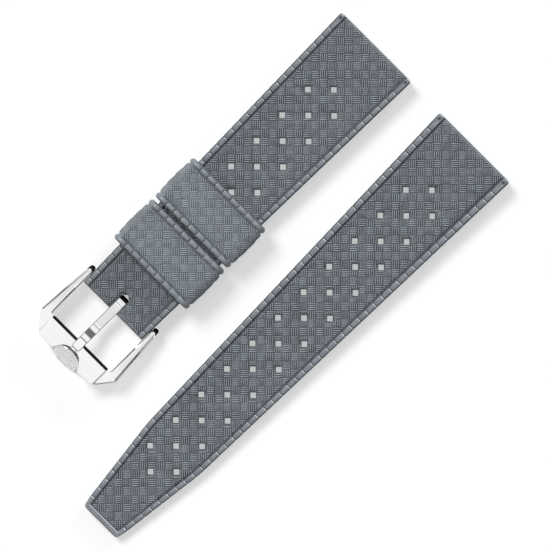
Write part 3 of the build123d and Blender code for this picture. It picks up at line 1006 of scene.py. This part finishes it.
# The facets are painted: near black at the arms' ends, dark along the arms and steps, faint grey at the
# front, as reflections.
break_edges(buckle, end_facet, 2, on_end_edge)
break_edges(buckle, inner_facet, 1, on_inner_edge)
break_edges(buckle, edge_facet, 1, on_arm_edge)
break_edges(buckle, edge_facet, 1, on_step_edge)
break_edges(buckle, edge_facet, 3, on_front_edge)
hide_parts("buckle_frame")
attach(buckle, "buckle")

# Medallion: a bare coin of steel pressed into the front of the crossbar. It has raised rings and a ground
# of fine straight ribs, and its lower edge follows the curve of the crossbar's front.
coin_colour = (0.8, 0.805, 0.81, 1)
coin_rim_colour = (0.93, 0.93, 0.93, 1)
coin_stretch = (3, 0.5, 3)
coin_steel = steel("coin_steel", coin_colour, 0.22, 0.3, 1, coin_stretch, 0.45)
rim_steel = steel("coin_rim_steel", coin_rim_colour, 0.12, 0.1)
coin_centre = Vector((-35.8 * mm, frame_y, 1.9 * mm))
coin_tilt = math.radians(50.6)
coin_radius = 4.2 * mm
front_radius = 9.76 * mm
front_centre_x = -26.99 * mm
ground_sunk = 0.15 * mm
ground_radius = 3.55 * mm
# The two outer rings take the painted dark edge finish, as shade round the coin's rim; the inner one is
# bright.
rings = [(coin_radius, 0.1 * mm, 1), (3.78 * mm, 0.07 * mm, 1), (3.5 * mm, 0.08 * mm, 2)]
rib_pitch = 0.4 * mm
rib_wide = 0.2 * mm
rib_rise = 0.08 * mm
coin_smooth = math.radians(40)
coin_up = Vector((math.cos(coin_tilt), 0, math.sin(coin_tilt)))
coin_out = Vector((-math.sin(coin_tilt), 0, math.cos(coin_tilt)))


def on_coin(point, margin):
    """Whether a point lies behind the curve of the front, by a margin."""
    return math.hypot(point.x - front_centre_x, point.y - frame_y) < front_radius - margin


coin = merged_copy("buckle_medallion", "buckle_medallion_steel")
for material in (coin_steel, painted_edge_steel, rim_steel):
    coin.data.materials.append(material)
coin_side = Vector((0, -1, 0))
turned = Matrix((coin_side, coin_up, coin_out)).transposed().to_4x4()
raised = []
for ring_radius, thick, finish in rings:
    bpy.ops.mesh.primitive_torus_add(
        major_radius=ring_radius, minor_radius=thick, major_segments=72, minor_segments=10
    )
    ring = bpy.context.object
    ring.matrix_world = Matrix.Translation(coin_centre) @ turned
    settle()
    mode("EDIT")
    choose("VERT", lambda v: not on_coin(v.co, thick))
    bpy.ops.mesh.delete(type="VERT")
    choose("EDGE", lambda e: e.is_boundary)
    bpy.ops.mesh.edge_face_add()
    mode("OBJECT")
    ring.data.materials.append(coin.data.materials[finish])
    raised.append(ring)
row = -int(ground_radius / rib_pitch)
while row * rib_pitch < ground_radius - rib_wide:
    middle = coin_centre + coin_up * row * rib_pitch - coin_out * ground_sunk
    reach = front_radius**2 - (middle.x - front_centre_x)**2
    chord = ground_radius**2 - (row * rib_pitch)**2
    half = min(math.sqrt(max(0, chord)), math.sqrt(max(0, reach))) - rib_pitch
    row += 1
    if half < rib_pitch:
        continue
    bpy.ops.mesh.primitive_cube_add(size=1)
    rib = bpy.context.object
    grown = Matrix.Diagonal((2 * half, rib_wide, 2 * rib_rise, 1))
    rib.matrix_world = Matrix.Translation(middle) @ turned @ grown
    settle()
    mode("EDIT")
    choose("EDGE", lambda e: runs_along(e, 1) and (e.verts[0].co - middle).dot(coin_out) > 0)
    bpy.ops.mesh.bevel(offset=rib_rise, segments=2, affect="EDGES")
    mode("OBJECT")
    rib.data.materials.append(rim_steel)
    raised.append(rib)
pick(coin, *raised)
bpy.ops.object.join()
bpy.ops.object.shade_smooth_by_angle(angle=coin_smooth)
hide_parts("buckle_medallion")
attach(coin, "buckle")

# Tongue: a polished steel strip, bent up to its seat on the crossbar and curled round the spring bar. Its
# bends are eased, a dark line is painted at each of them and at the curl as shade, the curl itself is
# painted near black as shade and dark reflection, and its flat is painted a little darker as a dimmer
# reflection.
# Painted reflection: the flat of the tongue is laid a little darker.
tongue_flat_shade_colour = (0.775, 0.775, 0.78, 1)
curl_x = -19.0 * mm
curl_tick = -20.02 * mm
flat_ends = (-25.9 * mm, -20.4 * mm)
bend_near = -29.37 * mm
bend_far = -27.15 * mm
bend_fall = 1.28 * mm
bend_ease = 0.85 * mm
bend_cuts = 40
ease_steps = 20
tick = 0.12 * mm
tip_x = -32 * mm
tongue = steel_copy("buckle_tongue", "buckle_tongue_steel", tongue_steel)
tongue.data.materials.append(steel("tongue_flat_painted_shade", tongue_flat_shade_colour, 0.02, 0.1))


def bend_drop(x):
    """How far the tongue has dropped from its tip at a place, with sharp bends."""
    return bend_fall * min(1, max(0, (x - bend_near) / (bend_far - bend_near)))


pick(tongue)
mode("EDIT")
tick_starts = (bend_near - bend_ease, bend_far + bend_ease - tick, curl_tick)
bend_span = tick_starts[1] - tick_starts[0]
cuts = [tick_starts[0] + bend_span * i / bend_cuts for i in range(bend_cuts + 1)]
for cut_x in (*cuts, *flat_ends, curl_tick, *(start + tick for start in tick_starts)):
    bpy.ops.mesh.select_all(action="SELECT")
    bpy.ops.mesh.bisect(plane_co=(cut_x, 0, 0), plane_no=(1, 0, 0))
mode("OBJECT")
reaches = [bend_ease * (i / ease_steps - 1) for i in range(2 * ease_steps + 1)]
for point in tongue.data.vertices:
    if point.co.x < bend_far + bend_ease:
        eased = [bend_drop(point.co.x + reach) for reach in reaches]
        point.co.z += bend_drop(point.co.x) - sum(eased) / len(eased)
# Painted: the curl near black and a dark line at each bend as shade, the flat a little darker as a dimmer
# reflection.
for face in tongue.data.polygons:
    if face.center.x > curl_x:
        face.material_index = 2
    elif any(start < face.center.x < start + tick for start in tick_starts):
        face.material_index = 1
    elif flat_ends[0] < face.center.x < flat_ends[1] and face.normal.z > facing_flat:
        face.material_index = 4
make_faces_whole(tongue)
break_edges(tongue, edge_facet, 1, lambda e: not runs_along(e, 1) or e.verts[0].co.x < tip_x)
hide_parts("buckle_tongue")
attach(tongue, "tongue")

# Spring bar: a drawn steel tube with two turned tips and the coil spring between them. It lies in the
# buckle end of the rubber, and its tips sit in the holes of the buckle's arms.
bar_colour = (0.62, 0.62, 0.63, 1)
bar_steel = steel("bar_steel", bar_colour, 0.3, 0.4)
for node in ("bar_tube", "bar_spring", "bar_tip_left", "bar_tip_right"):
    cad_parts[node].data.materials.clear()
    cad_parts[node].data.materials.append(bar_steel)

# Floor: a plain white sheet that the strap lies on. It is white to the eye and in the steel, keeps the
# soft shadow of the strap, and throws light back at the rubber as a plain sheet does.
floor_size = 2.0
floor_drop = 0.02 * mm
shadow_floor = 0.52
lit_floor = 0.45
bpy.ops.mesh.primitive_plane_add(size=floor_size, location=(0, 0, -floor_drop))
floor = bpy.context.object
floor.name = "floor"
sheet = bpy.data.materials.new("white_sheet")
sheet.use_nodes = True
nodes = sheet.node_tree.nodes
links = sheet.node_tree.links
nodes.remove(nodes["Principled BSDF"])
seen = nodes.new("ShaderNodeLightPath")
looked_at = nodes.new("ShaderNodeMath")
looked_at.operation = "MAXIMUM"
plain = add_node(nodes, "ShaderNodeBsdfDiffuse", {"Color": (0.8, 0.8, 0.8, 1)})
shaded = add_node(nodes, "ShaderNodeBsdfDiffuse", {"Color": (lit_floor, lit_floor, lit_floor, 1)})
glow = add_node(nodes, "ShaderNodeEmission", {"Strength": shadow_floor})
white = nodes.new("ShaderNodeAddShader")
which = nodes.new("ShaderNodeMixShader")
links.new(seen.outputs["Is Camera Ray"], looked_at.inputs[0])
links.new(seen.outputs["Is Glossy Ray"], looked_at.inputs[1])
links.new(shaded.outputs["BSDF"], white.inputs[0])
links.new(glow.outputs["Emission"], white.inputs[1])
links.new(looked_at.outputs["Value"], which.inputs["Fac"])
links.new(plain.outputs["BSDF"], which.inputs[1])
links.new(white.outputs["Shader"], which.inputs[2])
links.new(which.outputs["Shader"], nodes["Material Output"].inputs["Surface"])
floor.data.materials.append(sheet)

# Light: a broad lamp from the upper left of the picture, a weak low one from the lug ends, and an even
# white room whose walls the steel sees in light and dark bands.
key_from = Vector((0.1, 1.0, 1.22))
side_from = Vector((1.0, 0.1, 0.45))
for name, comes_from, energy, spread in (("key", key_from, 2.8, 24), ("side", side_from, 0.8, 10)):
    sun = bpy.data.lights.new(name, "SUN")
    sun.energy = energy
    sun.angle = math.radians(spread)
    lamp = bpy.data.objects.new(name, sun)
    lamp.rotation_euler = comes_from.to_track_quat("Z", "Y").to_euler()
    bpy.context.scene.collection.objects.link(lamp)
room = bpy.data.worlds.new("room")
bpy.context.scene.world = room
room.use_nodes = True
nodes = room.node_tree.nodes
links = room.node_tree.links
even = nodes["Background"]
even.inputs["Color"].default_value = (1, 1, 1, 1)
even.inputs["Strength"].default_value = 0.33
walls = nodes.new("ShaderNodeBackground")
backdrop = add_node(nodes, "ShaderNodeBackground", {"Color": (1, 1, 1, 1)})
toward = nodes.new("ShaderNodeTexCoord")
parts = nodes.new("ShaderNodeSeparateXYZ")
links.new(toward.outputs["Generated"], parts.inputs["Vector"])
front_tones = [(0.0, 0.04), (0.1, 0.06), (0.2, 0.85), (0.35, 1.0), (1.0, 1.0)]
back_tones = [
    (0.0, 0.04), (0.1, 0.1), (0.2, 0.7), (0.34, 0.9), (0.42, 0.17), (0.66, 0.17), (0.8, 1.0), (0.95, 1.0),
    (0.975, 0.84), (1.0, 0.84),
]
tone_bands = []
for tones in (front_tones, back_tones):
    bands = nodes.new("ShaderNodeValToRGB")
    for place, tone in tones:
        first_or_last = {0.0: 0, 1.0: -1}.get(place)
        if first_or_last is None:
            stop = bands.color_ramp.elements.new(place)
        else:
            stop = bands.color_ramp.elements[first_or_last]
        stop.color = (tone, tone, tone, 1)
    links.new(parts.outputs["Z"], bands.inputs["Fac"])
    tone_bands.append(bands)
behind = add_node(nodes, "ShaderNodeMapRange", {"From Min": 0.01, "From Max": 0.03})
which_wall = nodes.new("ShaderNodeMix")
which_wall.data_type = "RGBA"
links.new(parts.outputs["X"], behind.inputs["Value"])
links.new(behind.outputs["Result"], which_wall.inputs["Factor"])
links.new(tone_bands[0].outputs["Color"], which_wall.inputs["A"])
links.new(tone_bands[1].outputs["Color"], which_wall.inputs["B"])
links.new(which_wall.outputs["Result"], walls.inputs["Color"])
seen = nodes.new("ShaderNodeLightPath")
gloss_mix = nodes.new("ShaderNodeMixShader")
camera_mix = nodes.new("ShaderNodeMixShader")
links.new(seen.outputs["Is Glossy Ray"], gloss_mix.inputs["Fac"])
links.new(even.outputs["Background"], gloss_mix.inputs[1])
links.new(walls.outputs["Background"], gloss_mix.inputs[2])
links.new(seen.outputs["Is Camera Ray"], camera_mix.inputs["Fac"])
links.new(gloss_mix.outputs["Shader"], camera_mix.inputs[1])
links.new(backdrop.outputs["Background"], camera_mix.inputs[2])
links.new(camera_mix.outputs["Shader"], nodes["World Output"].inputs["Surface"])

# Camera: straight above and far off through a long lens, with the straps running from the lower left of
# the picture to its upper right.
picture_x = 6.7 * mm
picture_y = -4.5 * mm
picture_z = 3 * mm
picture_width = 112.4 * mm
lens = 300
eye = bpy.data.cameras.new("eye")
eye.lens = lens
eye.sensor_width = 36
eye.clip_end = 10
camera = bpy.data.objects.new("camera", eye)
camera.location = (picture_x, picture_y, picture_z + picture_width * lens / eye.sensor_width)
camera.rotation_euler = (0, 0, -math.pi / 4)
bpy.context.scene.collection.objects.link(camera)
bpy.context.scene.camera = camera
bpy.context.scene.view_settings.view_transform = "Standard"
